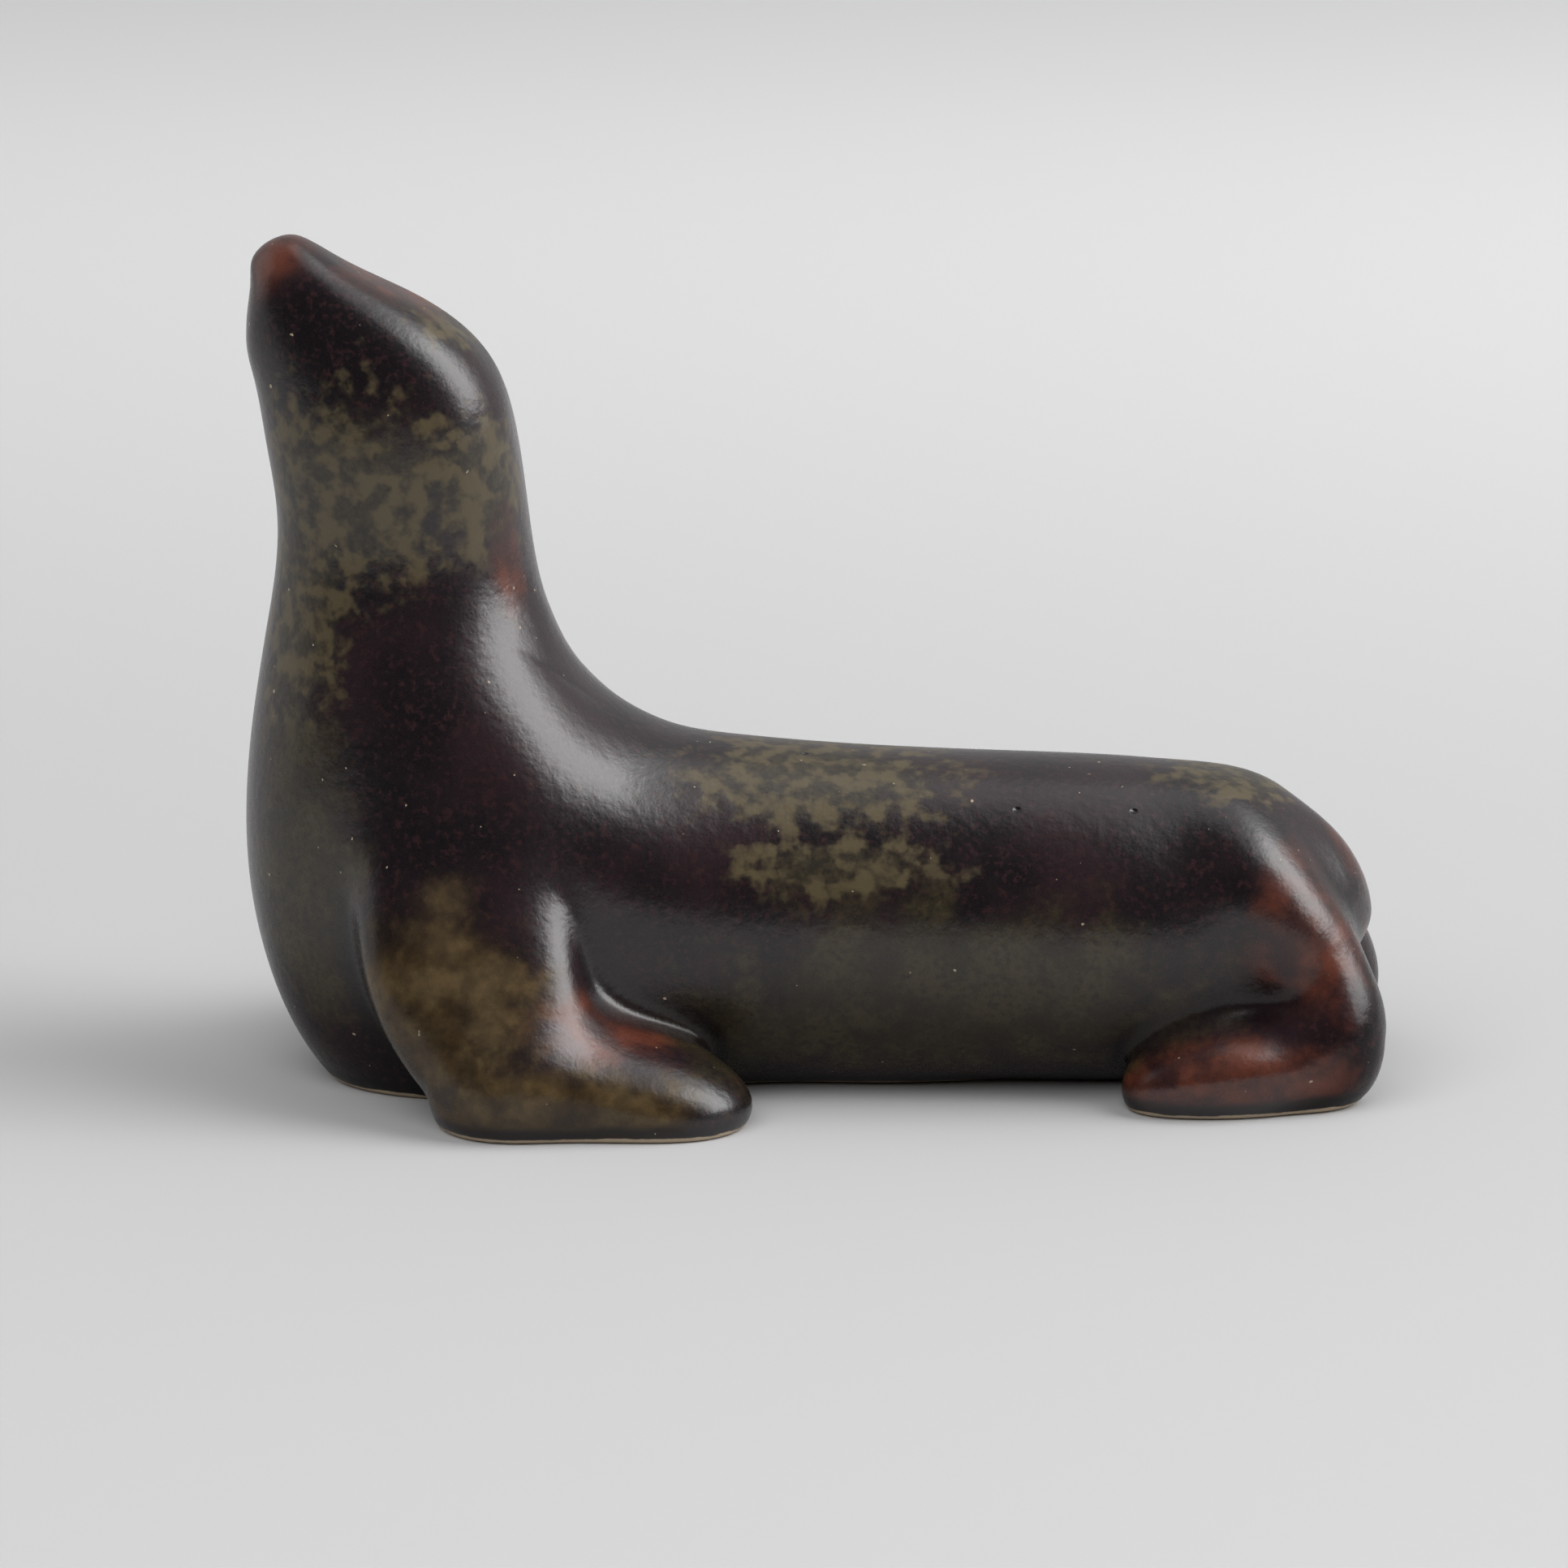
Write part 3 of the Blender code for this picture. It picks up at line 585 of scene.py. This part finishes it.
class Glaze(Nodes):
    """The figure's glaze: the noises and masks that its colour, roughness and relief share.

    Lengths are in millimetres, and places are mirrored so that both sides are glazed alike.
    """

    def __init__(self, material):
        super().__init__(material)
        place = self.add("ShaderNodeTexCoord", {}).outputs["Object"]
        inputs = {"Vector": place, "Scale": (1.0 / MM, 1.0 / MM, 1.0 / MM)}
        self.here = self.add("ShaderNodeMapping", inputs).outputs[0]
        split = self.add("ShaderNodeSeparateXYZ", {0: self.here})
        self.side = self.math("ABSOLUTE", split.outputs[1])
        self.height = split.outputs[2]
        inputs = {0: split.outputs[0], 1: self.side, 2: self.height}
        self.paired = self.add("ShaderNodeCombineXYZ", inputs).outputs[0]
        self.ridge = self.add("ShaderNodeAttribute", {}, attribute_name="ridge").outputs["Fac"]

        self.broad = self.noise(self.here, 0.045, 3.0, 0.55)
        self.cloud = self.noise(self.here, 0.12, 4.0, 0.6)
        self.blobs = self.noise(self.here, 0.34, 3.0, 0.5)
        self.grain = self.noise(self.here, 0.9, 3.0, 0.65)
        self.fine = self.noise(self.here, 1.9, 2.0, 0.6)

        self.in_olive = self.broken(self.patches(self.paired, OLIVE_PLACES), self.blobs, 2.0, 0.34)
        self.in_moss = self.broken(self.patches(self.paired, MOSS_PLACES), self.cloud, 1.6, 0.3)
        self.in_ochre = self.broken(self.patches(self.paired, OCHRE_PLACES), self.cloud, 1.6, 0.4)
        # A band at the foot, darkest below about 2 mm: partly a glaze edge, partly painted contact
        # shade at the floor
        self.glaze_edge_and_contact_shade = self.ramp(self.math("MULTIPLY_ADD", self.cloud, -3.6, self.height), 1.6, 0.2)
        self.bare = self.ramp(self.math("MULTIPLY_ADD", self.cloud, -1.2, self.height), 0.40, 0.15)
        self.pits = self.ramp(self.patches(self.here, PITS), -0.5, 0.5)

    def mottled(self):
        """Aubergine with drifts of olive over the neck and back, moss below and ochre on the arms."""
        plum = self.mix(self.ramp(self.broad, 0.36, 0.64), DARK_PLUM, PLUM)
        plum = self.mix(self.ramp(self.grain, 0.50, 0.68), plum, RED_PLUM)
        deep = self.mix(self.ramp(self.grain, 0.35, 0.65), DEEP_OLIVE, DARK_OLIVE)
        olive = self.mix(self.ramp(self.blobs, 0.42, 0.62), deep, OLIVE)
        moss = self.mix(self.ramp(self.cloud, 0.36, 0.62), DARK_MOSS, MOSS)
        moss = self.mix(self.ramp(self.grain, 0.25, 0.75), deep, moss)
        ochre = self.mix(self.ramp(self.cloud, 0.38, 0.66), DARK_OCHRE, OCHRE)
        shaded = self.mix(0.4, ochre, DARK_PLUM)
        ochre = self.mix(self.ramp(self.blobs, 0.35, 0.65), shaded, ochre)
        colour = self.mix(self.in_olive, plum, olive)
        colour = self.mix(self.in_moss, colour, moss)
        return self.mix(self.in_ochre, colour, ochre)

    def thinned(self, colour):
        """The colour turned rust where the glaze is thin, on ridges, and dark where it pools."""
        rust = self.mix(self.ramp(self.cloud, 0.35, 0.65), DARK_RUST, RUST)
        in_rust = self.broken(self.patches(self.paired, RUST_PLACES), self.cloud, 1.2, 0.6)
        drift = self.ramp(self.broad, 0.35, 0.65)
        thin = self.most(in_rust, self.math("MULTIPLY", self.ramp(self.ridge, 0.16, 0.36), drift))
        pooled = self.ramp(self.ridge, 0.0, -0.14, last=0.75)
        return self.mix(pooled, self.mix(thin, colour, rust), DARK_PLUM)

    def edged(self, colour):
        """The colour with a black glaze edge, which is also painted contact shade, over the bare clay
        foot, and with pits and specks.
        """
        # Painted contact shade: the foot band turns near-black where the figure meets the floor
        colour = self.mix(self.math("MULTIPLY", self.glaze_edge_and_contact_shade, 0.9), colour, GLAZE_EDGE_AND_CONTACT_SHADE)
        colour = self.mix(self.bare, colour, BARE_CLAY)
        colour = self.mix(self.pits, colour, PIT)
        specks = self.ramp(self.noise(self.here, 1.1, 0.0), 0.862, 0.885)
        return self.mix(specks, colour, SPECK)

    def roughness(self):
        """A satin that is a little rougher in the olive and matt on the clay."""
        matt = self.math("MULTIPLY", self.most(self.in_olive, self.glaze_edge_and_contact_shade), 0.07)
        satin = self.math("MULTIPLY_ADD", self.fine, 0.12, self.math("ADD", matt, 0.22))
        return self.math("MAXIMUM", satin, self.math("MULTIPLY", self.bare, 0.85))

    def gloss(self):
        """How strongly the glaze mirrors: less on the low flanks and the ochre of the arms."""
        low = self.ramp(self.height, 30.0, 8.0)
        flank = self.math("MULTIPLY", low, self.ramp(self.side, 27.0, 23.5))
        gloss = self.math("MULTIPLY_ADD", flank, -0.36, 0.5)
        return self.math("MULTIPLY_ADD", self.in_ochre, -0.2, gloss)

    def relief(self):
        """Orange peel and grain, thinner over the olive and sunk at the pits."""
        relief = self.math("MULTIPLY_ADD", self.fine, 0.30, self.noise(self.here, 0.55))
        relief = self.math("MULTIPLY_ADD", self.in_olive, -0.25, relief)
        relief = self.math("MULTIPLY_ADD", self.pits, -3.0, relief)
        inputs = {"Strength": 1.0, "Distance": 0.08 * MM, "Height": relief}
        return self.add("ShaderNodeBump", inputs).outputs[0]


def glaze_material():
    """Satin aubergine stoneware glaze."""
    material = bpy.data.materials.new("aubergine_glaze")
    glaze = Glaze(material)
    inputs = {
        "Base Color": glaze.edged(glaze.thinned(glaze.mottled())),
        "Roughness": glaze.roughness(),
        "Specular IOR Level": glaze.gloss(),
        "IOR": 1.6,
        "Normal": glaze.relief(),
    }
    glaze.feed(glaze.nodes["Principled BSDF"], inputs)
    return material


def paper_material():
    """Matt pale grey paper, painted paler further behind the figure: painted light that makes up for
    the lamps lighting the far floor less.
    """
    material = bpy.data.materials.new("pale_paper")
    paper = Nodes(material)
    place = paper.add("ShaderNodeTexCoord", {}).outputs["Object"]
    behind = paper.add("ShaderNodeSeparateXYZ", {0: place}).outputs[1]
    near, far = (0.455, 0.455, 0.46, 1.0), (0.74, 0.74, 0.745, 1.0)
    # Painted light: the paper is paler further back, where less lamp light reaches it
    tone = paper.mix(paper.ramp(behind, 0.0, 1.0), near, far)
    paper.feed(paper.nodes["Principled BSDF"], {"Base Color": tone, "Roughness": 0.85})
    return material


def floor_disc(radius=4.0, sides=96):
    """A wide disc under the figure: one face through points on a circle."""
    turn = np.linspace(0.0, 2.0 * np.pi, sides, endpoint=False)
    rim = np.stack([radius * np.cos(turn), radius * np.sin(turn), np.zeros(sides)], axis=1)
    mesh = bpy.data.meshes.new("floor")
    mesh.from_pydata(rim, [], [list(range(sides))])
    mesh.materials.append(paper_material())
    floor = bpy.data.objects.new("floor", mesh)
    bpy.context.scene.collection.objects.link(floor)


def way_to(azimuth, elevation):
    """Direction out from the figure, in degrees: azimuth 0 is the camera's side, 90 the tail's."""
    turn, rise = np.radians(azimuth), np.radians(elevation)
    return Vector((np.sin(turn) * np.cos(rise), -np.cos(turn) * np.cos(rise), np.sin(rise)))


def aim(thing, eye, target):
    thing.location = eye
    thing.rotation_mode = "QUATERNION"
    thing.rotation_quaternion = (Vector(target) - Vector(eye)).to_track_quat("-Z", "Y")


def softbox(name, azimuth, elevation, size, brightness, mirrored=True):
    """A rectangular lamp, as bright all over as a white surface times the brightness.

    A lamp that isn't mirrored lights the glaze without showing in it.
    """
    lamp = bpy.data.lights.new(name, "AREA")
    lamp.shape = "RECTANGLE"
    lamp.size, lamp.size_y = size
    lamp.energy = brightness * np.pi * size[0] * size[1]
    box = bpy.data.objects.new(name, lamp)
    bpy.context.scene.collection.objects.link(box)
    box.visible_camera = False
    box.visible_glossy = mirrored
    target = Vector(LAMP_TARGET)
    aim(box, target + LAMP_DISTANCE * way_to(azimuth, elevation), target)


def studio_light():
    """A tall window to the right with a soft surround, a ceiling, a dim wall and a fill."""
    softbox("window", 84.0, 37.0, (1.25, 1.8), 4.5)
    softbox("window_surround", 88.0, 42.0, (2.2, 2.3), 1.3)
    softbox("ceiling", 120.0, 74.0, (1.7, 1.3), 0.7)
    softbox("wall", -98.0, 22.0, (1.5, 1.6), 0.45)
    softbox("fill", -25.0, 48.0, (2.0, 2.0), 2.6, mirrored=False)


def room():
    """A world that is dark on the camera's side and paler behind, seen as a plain pale grey."""
    world = bpy.data.worlds.new("room")
    walls = Nodes(world)
    way = walls.add("ShaderNodeTexCoord", {}).outputs["Generated"]
    behind = walls.add("ShaderNodeSeparateXYZ", {0: way}).outputs[1]
    light = walls.ramp(behind, -0.3, 0.6, first=0.04, last=0.45)
    seen = walls.add("ShaderNodeLightPath", {}).outputs["Is Camera Ray"]
    shade = walls.add("ShaderNodeMix", {0: seen, 2: light, 3: 0.68}, data_type="FLOAT").outputs[0]
    walls.feed(walls.nodes["Background"], {"Color": shade})
    bpy.context.scene.world = world


def camera():
    """A long lens a little above the figure, square to its left side."""
    lens = bpy.data.cameras.new("camera")
    lens.sensor_width = 36.0
    lens.lens = 180.7
    lens.clip_end = 20.0
    eye = bpy.data.objects.new("camera", lens)
    bpy.context.scene.collection.objects.link(eye)
    target = Vector((-0.00472, 0.0, 0.045))
    aim(eye, target + 1.2 * way_to(2.0, 13.5), target)
    bpy.context.scene.camera = eye


def build():
    mesh = sea_lion_mesh()
    mesh.materials.append(glaze_material())
    figure = bpy.data.objects.new("glazed_sea_lion", mesh)
    bpy.context.scene.collection.objects.link(figure)
    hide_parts("sea_lion")
    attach(figure, "root")
    floor_disc()
    studio_light()
    room()
    camera()
    bpy.context.scene.view_settings.view_transform = "Standard"


build()
